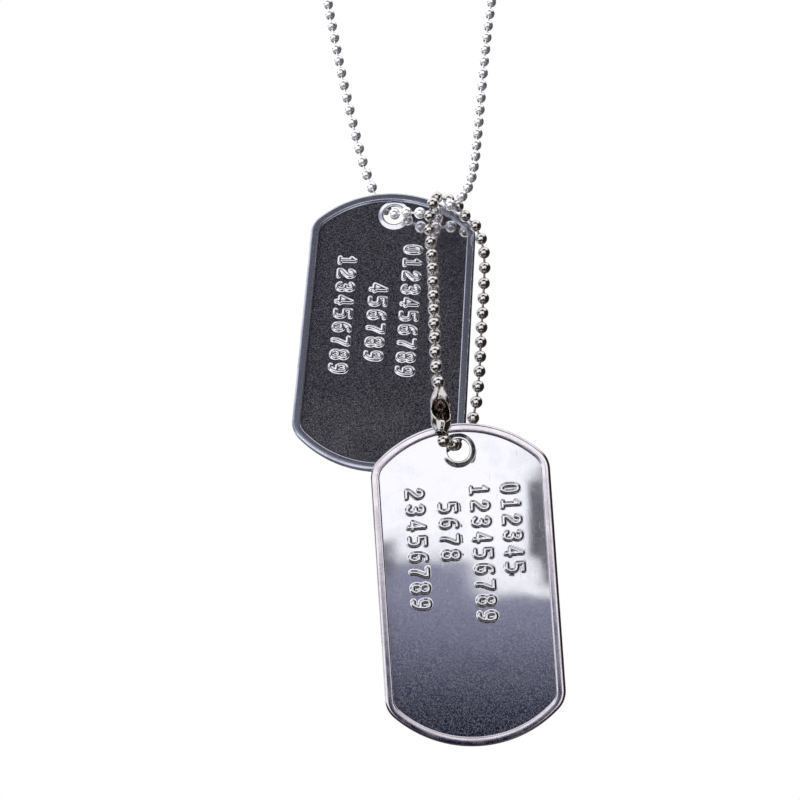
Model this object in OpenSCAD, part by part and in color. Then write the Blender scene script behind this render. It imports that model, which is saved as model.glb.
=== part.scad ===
// Identification dog tag: two stamped steel tags with rolled rims, one threaded on a neck ball chain
// and one hung from it by a short ball chain with a snap connector. All lengths are millimetres.
// The origin is under the top of the neck loop, where the chain rests on whatever holds it.
// Z is up, the tags hang at -Z and face -Y, and the loop leans back to it as on a wearer.

/* [Tags] */

// Width of a tag over its rim
tag_w = 28.6; // [20:0.1:40]
// Height of a tag over its rim
tag_h = 51; // [40:0.1:70]
// Radius of the long arc that closes each end
end_r = 19; // [17:0.5:40]
// Radius of the four corners
corner_r = 4; // [2:0.1:8]
// Width of the rolled rim, seen from the front
rim_w = 1.45; // [0.9:0.05:2.5]
// Thickness of the rolled rim
rim_t = 1.2; // [0.8:0.05:1.4]
// How far the rim's edges are eased
rim_ease = 0.35; // [0.1:0.05:0.35]
// Thickness of the steel sheet
plate_t = 0.4; // [0.3:0.05:0.7]
// Diameter of the chain hole
hole_d = 3.6; // [3.3:0.1:5]
// Distance of the hole's centre from the top edge
hole_drop = 4.3; // [4:0.1:7]
// Outer diameter of the collar pressed up round the hole
collar_d = 5.6; // [4.6:0.1:7]
// Height of that collar, which rises to the hole's edge at the front
collar_h = 0.2; // [0.1:0.05:0.3]

/* [Stamped digits] */

// Height of a digit
digit_h = 3.1; // [2:0.1:4]
// Width of a digit
digit_w = 1.6; // [1:0.1:2.4]
// Width of a digit's stroke
stroke_w = 0.5; // [0.3:0.05:0.6]
// How far the digits stand up from the sheet
relief = 0.3; // [0.1:0.05:0.38]
// Distance from one digit to the next along a row
digit_step = 2.5; // [2.2:0.05:3]
// Distance of the first digit of a row from the hole's centre
digit_drop = 6.5; // [5:0.1:9]

/* [Ball chains] */

// Diameter of a bead
bead_d = 2; // [1.6:0.05:2.1]
// Wall of the hollow beads
bead_wall = 0.16; // [0.1:0.01:0.2]
// Distance aimed at from bead to bead
bead_step = 2.75; // [2.6:0.05:3.2]
// Diameter of the wire of a link
wire_d = 0.38; // [0.3:0.01:0.42]
// Clearance all round the wire in the bead's holes
wire_gap = 0.12; // [0.1:0.01:0.16]
// Diameter of the flattened heads that hold a link in its beads
head_d = 0.8; // [0.7:0.01:0.9]
// Thickness of those heads
head_t = 0.2; // [0.15:0.01:0.25]
// Gap between the chain's parts where its beads give way to a plain tube
tube_gap = 0.15; // [0.1:0.01:0.3]

/* [Connectors] */

// Length of a snap connector
con_l = 7.8; // [7:0.1:10]
// Outer diameter of a connector's body
con_d = 3.3; // [2.9:0.1:3.6]
// Diameter of its narrow ends
con_end_d = 2; // [1.6:0.1:2.4]
// Length of each narrow end
con_end_l = 0.4; // [0.3:0.05:0.6]
// Length of the shoulder between end and body
con_shoulder = 0.7; // [0.4:0.05:0.9]
// Wall of the connector's sheet
con_wall = 0.25; // [0.2:0.01:0.3]
// Width of the window that the end beads snap in through
con_window = 1.7; // [1:0.1:1.8]
// Width of the slit that runs on from the window to both ends
con_slit = 0.8; // [0.6:0.05:0.9]
// Gap between a connector's end and what is next to it on the chain
con_gap = 0.3; // [0.15:0.05:0.4]
// Where the neck chain's connector is, as a share of the plain stretch round the neck
con_share = 0.62; // [0.55:0.01:0.7]

/* [How it hangs] */

// How far the upper tag's foot comes forward, in degrees
rear_lean = 20.5; // [18:0.5:23]
// How far the lower tag's foot comes forward, in degrees
front_lean = 2.4; // [1:0.1:4]
// Turn of both tags about the upright, in degrees
tag_turn = -3; // [-4:0.5:-2]
// Tilt of the upper tag in its own plane, in degrees
rear_tilt = 2.7; // [0:0.1:5]
// Tilt of the lower tag in its own plane, in degrees
front_tilt = -3.9; // [-6:0.1:-2]

/* [Hidden] */

$fn = 48;
steel = "Silver";
dark = "DimGray";

// Centres of the two chain holes, and the middle of the loop's top that rests at the origin.
rear_hole = [3.5, -169.7, -248.94];
front_hole = [13.8, -189.25, -289];

// The neck chain's route: from the left of the throat down behind the upper tag, through its hole
// from behind, up on the right and once round the neck. The first front_points of it are the
// stretch that is made of real beads, and hole_point is the one in the hole.
neck_route = [
    [-9.4, -149.1, -204.8], [-7.6, -154.0, -214.6], [-6.1, -157.4, -222.1], [-3.8, -161.4, -232.3],
    [-1.6, -164.4, -240.6], [0.2, -166.1, -244.9], [1.9, -167.4, -247.4], [3.5, -169.6, -248.6],
    [5.7, -171.4, -248.6], [7.7, -172.7, -248.9], [12.2, -173.8, -248.1], [14.4, -174.2, -246.8],
    [16.1, -171.9, -244.3], [17.2, -169, -240.7], [18.1, -164.6, -234.7], [19, -160.4, -226.8],
    [19.9, -156.7, -218.6], [20.9, -153.2, -210.8], [21.9, -150, -203.8],
    [25.5, -117, -163], [31, -91, -126], [39, -68, -93.5], [50.5, -44.5, -59.5], [53, -28.5, -36.5],
    [41.5, -14, -16], [18.5, -3.5, -1.7], [0, -1.5, 1], [-18.5, -3.5, -1.7], [-41.5, -14, -16],
    [-53, -28.5, -36.5], [-50.5, -44.5, -59.5], [-35, -68, -93.5], [-24, -91, -126], [-15.5, -117, -163],
];
front_points = 19;
hole_point = 7;

// The short chain's route, from the top of its connector down, through the lower tag's hole from
// the front, up behind it on the right and over the neck chain.
short_route = [
    [10.8, -188.8, -279.3], [10.9, -190.6, -282.9], [11, -192.3, -286.2], [11.3, -192.6, -287.4],
    [13, -190.5, -288.1], [13.5, -187.9, -288.1], [15.2, -187, -286.2], [16.3, -187, -283.8],
    [17.3, -185, -277.7], [17.9, -181.4, -270.2], [18.5, -178.4, -262.9],
    [18.7, -176.9, -256.4], [17.9, -175.2, -252.5], [17.1, -174.6, -251], [15.3, -173.5, -249.2],
    [13.8, -171.2, -246.5], [13.3, -171.4, -246.5], [10.8, -173.3, -246.3], [9.8, -176.2, -248.7],
    [9.5, -174.1, -251.1], [9.8, -176.2, -254.8], [10, -179.7, -261.4], [10.1, -183.7, -269],
    [10.3, -187.2, -275.4],
];

// A route is a smooth closed curve through its points, cut into this many steps between two of them.
cuts = 12;

function knot(a, b) = sqrt(norm(b - a));
function blend(a, b, from, to, t) = (a * (to - t) + b * (t - from)) / (to - from);
function curve(p0, p1, p2, p3, share) =
    let (t1 = knot(p0, p1), t2 = t1 + knot(p1, p2), t3 = t2 + knot(p2, p3), t = t1 + share * (t2 - t1))
    let (a1 = blend(p0, p1, 0, t1, t), a2 = blend(p1, p2, t1, t2, t), a3 = blend(p2, p3, t2, t3, t))
    let (b1 = blend(a1, a2, 0, t2, t), b2 = blend(a2, a3, t1, t3, t))
    blend(b1, b2, t1, t2, t);
function smooth(route) =
    let (n = len(route))
    [for (i = [0:n - 1], k = [0:cuts - 1])
        curve(route[(i + n - 1) % n], route[i], route[(i + 1) % n], route[(i + 2) % n], k / cuts)];
// Rows of the way gone along a closed line of points, then the point.
function measured(points) =
    let (n = len(points))
    [for (i = 0, way = 0; i <= n; way = way + norm(points[(i + 1) % n] - points[i % n]), i = i + 1)
        [way, points[i % n].x, points[i % n].y, points[i % n].z]];
function column(rows, k) = [for (row = rows) [row[0], row[k]]];
function wrap(way, whole) = way - whole * floor(way / whole);
function place(line, way) = let (s = wrap(way, line[0])) [lookup(s, line[1]), lookup(s, line[2]), lookup(s, line[3])];
function line_of(route) =
    let (rows = measured(smooth(route)))
    [rows[len(rows) - 1][0], column(rows, 1), column(rows, 2), column(rows, 3)];

neck_line = line_of(neck_route);
short_line = line_of(short_route);
neck_length = neck_line[0];
short_length = short_line[0];

// The short chain's beads: the first and the last sit in the connector's two ends.
con_hold = bead_step - bead_d / 2 - con_gap;
short_first = con_l - con_hold;
short_span = short_length - con_l + 2 * con_hold;
short_count = round(short_span / bead_step) + 1;
short_step = short_span / (short_count - 1);
short_beads = [for (i = [0:short_count - 1]) place(short_line, short_first + i * short_step)];

// The neck chain's beads share its whole length evenly, with one in the upper tag's hole. The
// front ones are real beads.
neck_count = round(neck_length / bead_step);
neck_step = neck_length / neck_count;
neck_rows = measured(smooth(neck_route));
front_length = neck_rows[(front_points - 1) * cuts][0];
neck_first = wrap(neck_rows[hole_point * cuts][0], neck_step);
front_count = ceil((front_length - neck_first) / neck_step) + 1;
function neck_way(i) = neck_first + i * neck_step;
front_beads = [for (i = [0:front_count - 1]) place(neck_line, neck_way(i))];

// The tube that stands for the rest of the neck chain, broken by its connector. Its rings are
// turned by the normal of the loop's plane, which leans back by loop_lean degrees.
tube_sides = 8;
tube_rings = 38;
tube_from = neck_way(front_count - 1) + bead_d / 2 + tube_gap;
tube_to = neck_way(neck_count) - bead_d / 2 - tube_gap;
con_way = tube_from + con_share * (tube_to - tube_from);
con_clear = con_l / 2 + con_gap;
loop_lean = 35;
loop_normal = [0, cos(loop_lean), -sin(loop_lean)];

function unit(v) = v / norm(v);
function heading(way) = unit(place(neck_line, way + bead_d / 2) - place(neck_line, way - bead_d / 2));
function ring(way) =
    let (p = place(neck_line, way), ahead = heading(way))
    let (side = unit(cross(ahead, loop_normal)), up = cross(side, ahead))
    [for (k = [0:tube_sides - 1]) let (turn = k * 360 / tube_sides)
        p + bead_d / 2 * (cos(turn) * side + sin(turn) * up)];

// Outline of a tag, worked out from the arcs' centres.
corner_x = tag_w / 2 - corner_r;
arc_y = tag_h / 2 - end_r;
corner_y = arc_y + sqrt(pow(end_r - corner_r, 2) - pow(corner_x, 2));
corner_turn = atan2(corner_y - arc_y, corner_x);
hole_y = tag_h / 2 - hole_drop;

// Stands things drawn towards +Z with their foot at a, looking to b.
module along(a, b) {
    d = b - a;
    translate(a) rotate([0, acos(d.z / norm(d)), atan2(d.y, d.x)]) children();
}

module rim_section(radius) {
    x = rim_w / 2;
    y = rim_t / 2;
    e = rim_ease;
    translate([radius - x, 0])
        polygon([[x, e - y], [x, y - e], [x - e, y], [e - x, y], [-x, y - e], [-x, e - y], [e - x, -y], [x - e, -y]]);
}

module rim_arc(centre, radius, from, turn) {
    translate(centre) rotate([0, 0, from]) rotate_extrude(angle = turn) rim_section(radius);
}

// A quarter of the rolled rim: half a side, a corner and half an end. It runs a little past the
// tag's middle lines, so that the four quarters overlap.
past = 0.2;
past_turn = 0.5;
module rim_quarter() {
    rotate([90, 0, 0]) translate([0, 0, -corner_y]) linear_extrude(height = corner_y + past)
        rim_section(tag_w / 2);
    rim_arc([corner_x, corner_y, 0], corner_r, 0, corner_turn);
    rim_arc([0, arc_y, 0], end_r, corner_turn, 90 - corner_turn + past_turn);
}

module rim() {
    for (x = [0, 1], y = [0, 1]) mirror([x, 0, 0]) mirror([0, y, 0]) rim_quarter();
}

// The sheet reaches to the middle of the rim, so its edge is a plain polygon inside the roll.
function arc_points(centre, radius, from, turn, steps) =
    [for (i = [0:steps]) centre + radius * [cos(from + turn * i / steps), sin(from + turn * i / steps)]];
half_sheet = concat(
    arc_points([corner_x, corner_y], corner_r - rim_w / 2, 0, corner_turn, 3),
    arc_points([0, arc_y], end_r - rim_w / 2, corner_turn, 180 - 2 * corner_turn, 12),
    arc_points([-corner_x, corner_y], corner_r - rim_w / 2, 180 - corner_turn, corner_turn, 3));

module sheet() {
    linear_extrude(height = plate_t, center = true) difference() {
        polygon(concat(half_sheet, -half_sheet));
        translate([0, hole_y]) circle(d = collar_d);
    }
}

// The collar round the hole rises to the hole's edge. Its flat lip overlaps the sheet.
lip = 0.15;
module collar() {
    h = plate_t / 2;
    translate([0, hole_y, 0]) rotate_extrude() polygon([
        [hole_d / 2, collar_h - h], [hole_d / 2, collar_h + h], [collar_d / 2, h], [collar_d / 2 + lip, h],
        [collar_d / 2 + lip, -h], [collar_d / 2, -h]]);
}

// Digits are ribbons along paths given as shares of a digit's width and height.
digit_paths = [
    [[[0.5, 0], [0.3, 0], [0, 0.2], [0, 0.8], [0.3, 1], [0.5, 1]],
        [[0.4, 1], [0.7, 1], [1, 0.8], [1, 0.2], [0.7, 0], [0.4, 0]]],
    [[[0.5, 1], [0.5, 0]], [[0.1, 0], [0.9, 0]], [[0.5, 0.95], [0.15, 0.78]]],
    [[[0, 0.75], [0.25, 1], [0.75, 1], [1, 0.8], [1, 0.6], [0, 0.2], [0, 0], [1, 0]]],
    [[[0, 0.85], [0.25, 1], [0.75, 1], [1, 0.85], [1, 0.65], [0.7, 0.52], [0.35, 0.52]],
        [[0.6, 0.52], [1, 0.4], [1, 0.15], [0.75, 0], [0.25, 0], [0, 0.15]]],
    [[[0.75, 1], [0.75, 0]], [[0.72, 0.95], [0.05, 0.32]], [[0, 0.25], [1, 0.25]]],
    [[[1, 1], [0, 1], [0, 0.6], [0.7, 0.6], [1, 0.45], [1, 0.15], [0.75, 0], [0, 0]]],
    [[[0.95, 1], [0.4, 1], [0, 0.65], [0, 0.15], [0.25, 0], [0.75, 0], [1, 0.15], [1, 0.4], [0.75, 0.55]],
        [[0.8, 0.55], [0.1, 0.55]]],
    [[[0, 1], [1, 1], [1, 0.85], [0.4, 0.3], [0.4, 0]]],
    [[[0.5, 0.53], [0.25, 0.53], [0, 0.68], [0, 0.87], [0.25, 1], [0.5, 1]],
        [[0.4, 1], [0.75, 1], [1, 0.87], [1, 0.68], [0.75, 0.53], [0.4, 0.53]],
        [[0.5, 0.5], [0.25, 0.5], [0, 0.37], [0, 0.13], [0.25, 0], [0.5, 0]],
        [[0.4, 0], [0.75, 0], [1, 0.13], [1, 0.37], [0.75, 0.5], [0.4, 0.5]]],
    [[[0.05, 0], [0.6, 0], [1, 0.35], [1, 0.85], [0.75, 1], [0.25, 1], [0, 0.85], [0, 0.6], [0.25, 0.45]],
        [[0.2, 0.45], [0.9, 0.45]]],
];

function cross_way(d) = [-d.y, d.x];
function side_point(path, i, out) =
    let (n = len(path), before = i > 0 ? unit(path[i] - path[i - 1]) : unit(path[1] - path[0]))
    let (after = i < n - 1 ? unit(path[i + 1] - path[i]) : before, half = unit(before + after))
    path[i] + cross_way(half) * out / (half * before);
function ribbon(path, width) =
    let (n = len(path))
    concat([for (i = [0:n - 1]) side_point(path, i, width / 2)],
        [for (i = [n - 1:-1:0]) side_point(path, i, -width / 2)]);

// How deep a digit is sunk in the sheet that carries it.
root = 0.15;
module digit(number) {
    box = [digit_w - stroke_w, digit_h - stroke_w];
    linear_extrude(height = root + relief) for (path = digit_paths[number])
        polygon(ribbon([for (p = path) [(p.x - 0.5) * box.x, (p.y - 0.5) * box.y]], stroke_w));
}

// Rows of digits read downwards, as on a tag worn upright. Columns: place across the tag as a share
// of its width, how many steps the row starts below the first, the first digit and how many digits.
front_rows = [[0.27, 0, 0, 6], [0.1, 0, 1, 9], [-0.08, 1, 5, 4], [-0.26, 0, 2, 8]];
rear_rows = [[0.13, 0, 0, 10], [-0.06, 3, 4, 6], [-0.26, 1, 1, 9]];

module digits(rows) {
    for (row = rows, i = [0:row[3] - 1])
        translate([row[0] * tag_w, hole_y - digit_drop - (row[1] + i) * digit_step, plate_t / 2 - root])
            rotate([0, 0, -90]) digit((row[2] + i) % 10);
}

module tag(rows) {
    rotate([90, 0, 0]) translate([0, -hole_y, 0]) {
        rim();
        sheet();
        collar();
        digits(rows);
    }
}

module tag_rear() {
    color(dark) translate(rear_hole) rotate([0, 0, tag_turn]) rotate([-rear_lean, 0, 0])
        rotate([0, rear_tilt, 0]) tag(rear_rows);
}

module tag_front() {
    color(steel) translate(front_hole) rotate([0, 0, tag_turn]) rotate([-front_lean, 0, 0])
        rotate([0, front_tilt, 0]) tag(front_rows);
}

// A hollow bead, drilled towards both of its neighbours.
drill_d = wire_d + 2 * wire_gap;
module bead(p, before, after) {
    difference() {
        along(p, after) rotate([90, 0, 0]) sphere(d = bead_d);
        along(p, after) rotate([90, 0, 0]) sphere(d = bead_d - 2 * bead_wall);
        along(p, before) cylinder(d = drill_d, h = bead_d);
        along(p, after) cylinder(d = drill_d, h = bead_d);
    }
}

// A link is a wire with a head in each of two beads.
head_way = 0.32;
module link(a, b) {
    long = norm(b - a);
    along(a, b) {
        translate([0, 0, head_way]) cylinder(d = head_d, h = head_t);
        translate([0, 0, head_way + head_t / 2]) cylinder(d = wire_d, h = long - 2 * head_way - head_t);
        translate([0, 0, long - head_way - head_t]) cylinder(d = head_d, h = head_t);
    }
}

module short_chain_beads() {
    last = short_count - 1;
    inside = unit(short_beads[0] - short_beads[last]) * bead_step;
    color(steel) for (i = [0:last])
        bead(short_beads[i], i > 0 ? short_beads[i - 1] : short_beads[0] - inside,
            i < last ? short_beads[i + 1] : short_beads[last] + inside);
}

module short_chain_links() {
    color(dark) for (i = [0:short_count - 2]) link(short_beads[i], short_beads[i + 1]);
}

module neck_chain_beads() {
    color(steel) for (i = [0:front_count - 1])
        bead(front_beads[i], place(neck_line, neck_way(i - 1)), place(neck_line, neck_way(i + 1)));
}

module neck_chain_links() {
    color(dark) for (i = [0:front_count - 2]) link(front_beads[i], front_beads[i + 1]);
}

module tube(from, to) {
    points = [for (i = [0:tube_rings - 1]) each ring(from + (to - from) * i / (tube_rings - 1))];
    last = (tube_rings - 1) * tube_sides;
    sides = [for (i = [0:tube_rings - 2], k = [0:tube_sides - 1])
        let (a = i * tube_sides + k, b = i * tube_sides + (k + 1) % tube_sides)
        [a, b, b + tube_sides, a + tube_sides]];
    polyhedron(points, concat([[for (k = [tube_sides - 1:-1:0]) k]], sides, [[for (k = [0:tube_sides - 1]) last + k]]));
}

module neck_chain_back() {
    color(steel) {
        tube(tube_from, con_way - con_clear);
        tube(con_way + con_clear, tube_to);
    }
}

// A snap connector along +Z from its foot: a drawn sleeve with narrow ends, a window and a slit.
module connector() {
    r = con_d / 2;
    e = con_end_d / 2;
    w = con_wall;
    shoulder = con_end_l + con_shoulder;
    difference() {
        rotate_extrude() polygon([
            [drill_d / 2 + w, 0], [e, 0], [e, con_end_l], [r, shoulder], [r, con_l - shoulder],
            [e, con_l - con_end_l], [e, con_l], [drill_d / 2 + w, con_l], [drill_d / 2 + w, con_l - w],
            [e - w, con_l - w], [e - w, con_l - con_end_l], [r - w, con_l - shoulder], [r - w, shoulder],
            [e - w, con_end_l], [e - w, w], [drill_d / 2 + w, w]]);
        translate([0, -r, con_l / 2]) cube([con_slit, 2 * r, con_l + 1], center = true);
        translate([0, -r, con_l / 2]) cube([con_window, 2 * r, con_l - 2 * shoulder], center = true);
    }
}

// The window of a connector that hangs down faces the front.
module connector_between(a, b) {
    spare = (norm(b - a) - con_l) / 2;
    along(a, b) translate([0, 0, spare]) rotate([0, 0, -90]) connector();
}

module short_chain_connector() {
    color(steel) connector_between(place(short_line, 0), place(short_line, con_l));
}

module neck_chain_connector() {
    color(steel) connector_between(place(neck_line, con_way - con_l / 2), place(neck_line, con_way + con_l / 2));
}

tag_rear();
tag_front();
short_chain_beads();
short_chain_links();
short_chain_connector();
neck_chain_beads();
neck_chain_links();
neck_chain_back();
neck_chain_connector();
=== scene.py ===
"""Two identification tags on their ball chains, dressed for the photograph.

Sizes in this file are millimetres and degrees. A mesh is scaled to metres when it is made a piece.
The finishes' noise scales and bump depths, and the studio's floor and camera, are in metres.
"""
from __future__ import annotations

import logging
import math
from dataclasses import dataclass, field
from enum import Enum

import bmesh
import bpy
import numpy as np
from mathutils import Matrix, Vector

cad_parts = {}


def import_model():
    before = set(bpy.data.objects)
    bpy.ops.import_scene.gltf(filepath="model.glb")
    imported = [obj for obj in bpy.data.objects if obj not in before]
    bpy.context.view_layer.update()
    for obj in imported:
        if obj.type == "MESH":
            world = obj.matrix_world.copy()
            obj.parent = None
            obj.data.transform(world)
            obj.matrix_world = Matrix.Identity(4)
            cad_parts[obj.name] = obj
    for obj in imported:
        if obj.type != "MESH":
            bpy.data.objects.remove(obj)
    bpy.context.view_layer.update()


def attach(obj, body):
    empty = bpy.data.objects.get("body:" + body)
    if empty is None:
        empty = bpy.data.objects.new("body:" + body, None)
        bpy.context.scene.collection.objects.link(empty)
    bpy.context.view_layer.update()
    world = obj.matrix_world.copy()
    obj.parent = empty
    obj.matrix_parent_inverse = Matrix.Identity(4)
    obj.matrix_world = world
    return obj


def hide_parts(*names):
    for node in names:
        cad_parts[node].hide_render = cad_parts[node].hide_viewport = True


MM = 0.001
# Points of a spun shape that are closer than this are merged.
WELD = 1e-4
WHITE = (1.0, 1.0, 1.0)
# Places of the share, of both colours and of the mixed colour among a Mix node's sockets.
MIX_INPUTS = (0, 6, 7)
MIX_OUTPUT = 2
# Faces round a bead and along it, in front and round the neck.
FINE_BEAD = (20, 12)
PLAIN_BEAD = (10, 6)
LOG = logging.getLogger("tags")
Colour = tuple[float, float, float]
Point = tuple[float, float, float]
Flat = tuple[float, float]
Span = tuple[float, float]


class Slot(Enum):
    """The record's material slots."""

    TAG = "tag_steel"
    CHAIN = "chain_steel"
    LINK = "link_steel"


class Body(Enum):
    """The bodies that pieces ride on."""

    CHAINS = "chains"
    REAR = "rear_tag"
    FRONT = "front_tag"


@dataclass(frozen=True)
class Noise:
    """A noise pattern: features to the metre, octaves of finer noise and how much it is swirled."""

    scale: float
    detail: float = 2.0
    swirl: float = 0.0


class Wiring:
    """Lays nodes in the tree of a material or of the world and joins them up."""

    def __init__(self, tree: bpy.types.NodeTree) -> None:
        """Keep the tree, emptied of what it starts with."""
        self.tree = tree
        tree.nodes.clear()

    def feed(self, socket: bpy.types.NodeSocket, value: object) -> None:
        """Set a socket to a plain value, or join another node's socket to it.

        Args:
            socket: The input that is fed.
            value: A number, a colour, a vector or another node's output.
        """
        if isinstance(value, bpy.types.NodeSocket):
            self.tree.links.new(value, socket)
        elif isinstance(value, tuple) and len(value) == 3 and socket.type == "RGBA":
            socket.default_value = (*value, 1.0)
        else:
            socket.default_value = value

    def node(self, kind: str, inputs: dict[str | int, object] | None = None,
             **settings: object) -> bpy.types.Node:
        """Add one node.

        Args:
            kind: Blender's name of the node type.
            inputs: Values or sockets for its inputs, by name or place.
            **settings: The node's own properties.

        Returns:
            The new node.
        """
        made = self.tree.nodes.new(kind)
        for name, value in settings.items():
            setattr(made, name, value)
        for key, value in (inputs or {}).items():
            self.feed(made.inputs[key], value)
        return made

    def reckon(self, operation: str, first: object, second: object = 0.0) -> bpy.types.NodeSocket:
        """Work out one arithmetic step on two numbers."""
        return self.node("ShaderNodeMath", {0: first, 1: second}, operation=operation).outputs[0]

    def object_place(self, scale: Point = (1, 1, 1), turn: Point = (0, 0, 0)) -> bpy.types.NodeSocket:
        """Give Object coordinates, stretched and turned.

        Args:
            scale: Stretch along each axis.
            turn: Turn about each axis, in degrees.

        Returns:
            The coordinates.
        """
        place = self.node("ShaderNodeTexCoord").outputs["Object"]
        angles = tuple(math.radians(angle) for angle in turn)
        inputs = {"Vector": place, "Rotation": angles, "Scale": scale}
        return self.node("ShaderNodeMapping", inputs).outputs[0]

    def noise(self, place: bpy.types.NodeSocket, pattern: Noise) -> bpy.types.NodeSocket:
        """Give a noise pattern's value, about 0.3 to 0.7 around 0.5, at coordinates in metres."""
        inputs = {"Vector": place, "Scale": pattern.scale, "Detail": pattern.detail,
                  "Distortion": pattern.swirl}
        return self.node("ShaderNodeTexNoise", inputs).outputs[0]

    def spread(self, value: object, levels: Span, results: Span = (0.0, 1.0),
               soft: bool = True) -> bpy.types.NodeSocket:
        """Map a value between two levels to two others, clamped.

        Args:
            value: The value to map.
            levels: The levels that it is taken between.
            results: The results at and beyond those levels.
            soft: Ease in and out.

        Returns:
            The mapped value.
        """
        inputs = dict(enumerate((value, *levels, *results)))
        kind = "SMOOTHSTEP" if soft else "LINEAR"
        return self.node("ShaderNodeMapRange", inputs, interpolation_type=kind).outputs[0]

    def mix(self, share: object, first: object, second: object) -> bpy.types.NodeSocket:
        """Mix two colours by a share from 0 to 1."""
        inputs = dict(zip(MIX_INPUTS, (share, first, second)))
        return self.node("ShaderNodeMix", inputs, data_type="RGBA").outputs[MIX_OUTPUT]

    def bump(self, height: object, depth: float,
             under: bpy.types.NodeSocket | None = None) -> bpy.types.NodeSocket:
        """Turn a height pattern into a bumped normal.

        Args:
            height: The pattern.
            depth: Depth of a full step of the pattern, in metres.
            under: A normal that this bump lies on.

        Returns:
            The bumped normal.
        """
        made = self.node("ShaderNodeBump", {"Strength": 1.0, "Distance": depth, "Height": height})
        if under is not None:
            self.feed(made.inputs["Normal"], under)
        return made.outputs[0]

    def metal(self, colour: object, roughness: object, normal: bpy.types.NodeSocket, bare: object) -> None:
        """End a material in a metal surface.

        Args:
            colour: Its colour.
            roughness: Its roughness.
            normal: Its bumped normal.
            bare: Share of the surface that is bare metal and not a milky film; on the neck chain the lower
                share is painted glare.
        """
        inputs = {"Base Color": colour, "Metallic": bare, "Roughness": roughness, "Normal": normal}
        shader = self.node("ShaderNodeBsdfPrincipled", inputs)
        self.node("ShaderNodeOutputMaterial", {0: shader.outputs[0]})


def new_material(name: str, colour: Colour) -> tuple[bpy.types.Material, Wiring]:
    """Start a material.

    Args:
        name: What the finish is.
        colour: Its plain colour, for viewports.

    Returns:
        The material and the wiring of its tree.
    """
    made = bpy.data.materials.new(name)
    made.use_nodes = True
    made.diffuse_color = (*colour, 1.0)
    return made, Wiring(made.node_tree)


@dataclass(frozen=True)
class PolishedSheet:
    """Rolled stainless sheet, polished, with a fine grain, faint scratches and handling marks."""

    name: str = "polished stainless sheet"
    colour: Colour = (0.86, 0.855, 0.885)
    worn_colour: Colour = (0.79, 0.785, 0.82)
    grain_colour: Colour = (0.82, 0.82, 0.85)
    smooth: float = 0.03
    hazy: float = 0.07
    marks: Noise = Noise(420.0, 5.0, 0.6)
    smudges: Noise = Noise(90.0, 3.0, 0.8)
    smudge_span: Span = (0.3, 0.75)
    worn_span: Span = (0.2, 0.36)
    grain: Noise = Noise(3900.0)
    grain_depth: float = 2.0e-7
    grain_bare: float = 0.952
    pale_span: Span = (0.42, 0.72)
    film_span: Span = (0.38, 0.68)
    scratches: Noise = Noise(5200.0)
    scratch_span: Span = (0.70, 0.78)
    scratch_stretch: Point = (1.0, 1.0, 0.05)
    scratch_turn: Point = (0, 24, 0)
    scratch_rough: float = 0.08
    scratch_depth: float = 5.0e-7
    wave: Noise = Noise(110.0, 1.0)
    wave_depth: float = 1.3e-5

    def material(self) -> bpy.types.Material:
        """Build the finish.

        Returns:
            The material.
        """
        made, wiring = new_material(self.name, self.colour)
        place = wiring.object_place()
        marks = wiring.noise(place, self.marks)
        smudge = wiring.noise(place, self.smudges)
        worn = wiring.spread(wiring.reckon("MULTIPLY", marks, smudge), self.worn_span)
        grain = wiring.noise(place, self.grain)
        streaks = wiring.noise(wiring.object_place(self.scratch_stretch, self.scratch_turn), self.scratches)
        scratch = wiring.spread(streaks, self.scratch_span)
        haze = wiring.spread(smudge, self.smudge_span, (self.smooth, self.hazy))
        roughness = wiring.reckon("ADD", haze, wiring.reckon("MULTIPLY", scratch, self.scratch_rough))
        wave = wiring.bump(wiring.noise(place, self.wave), self.wave_depth)
        rough_skin = wiring.bump(grain, self.grain_depth, wave)
        fine = wiring.bump(scratch, -self.scratch_depth, rough_skin)
        polished = wiring.mix(worn, self.colour, self.worn_colour)
        colour = wiring.mix(wiring.spread(grain, self.pale_span), polished, self.grain_colour)
        bare = wiring.spread(grain, self.film_span, (1.0, self.grain_bare), soft=False)
        wiring.metal(colour, roughness, fine, bare)
        return made


@dataclass(frozen=True)
class SatinRoll:
    """The rolled rim: satin steel that years against the skin have dulled a little."""

    name: str = "satin rolled rim"
    colour: Colour = (0.85, 0.805, 0.84)
    dull_colour: Colour = (0.73, 0.68, 0.72)
    smooth: float = 0.10
    rough: float = 0.20
    bare: float = 1.0
    clouds: Noise = Noise(260.0, 4.0, 0.5)
    cloud_span: Span = (0.3, 0.7)
    specks: Noise = Noise(2600.0, 3.0)
    speck_share: float = 0.5
    speck_depth: float = 1.6e-6
    dull_span: Span = (0.62, 0.95)
    dents: Noise = Noise(480.0)
    dent_depth: float = 6.0e-6

    def material(self) -> bpy.types.Material:
        """Build the finish.

        Returns:
            The material.
        """
        made, wiring = new_material(self.name, self.colour)
        place = wiring.object_place()
        cloud = wiring.noise(place, self.clouds)
        speck = wiring.noise(place, self.specks)
        roughness = wiring.spread(cloud, self.cloud_span, (self.smooth, self.rough))
        mottled = wiring.reckon("ADD", cloud, wiring.reckon("MULTIPLY", speck, self.speck_share))
        dull = wiring.spread(mottled, self.dull_span)
        dents = wiring.bump(wiring.noise(place, self.dents), self.dent_depth)
        normal = wiring.bump(speck, self.speck_depth, dents)
        wiring.metal(wiring.mix(dull, self.colour, self.dull_colour), roughness, normal, self.bare)
        return made


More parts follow.
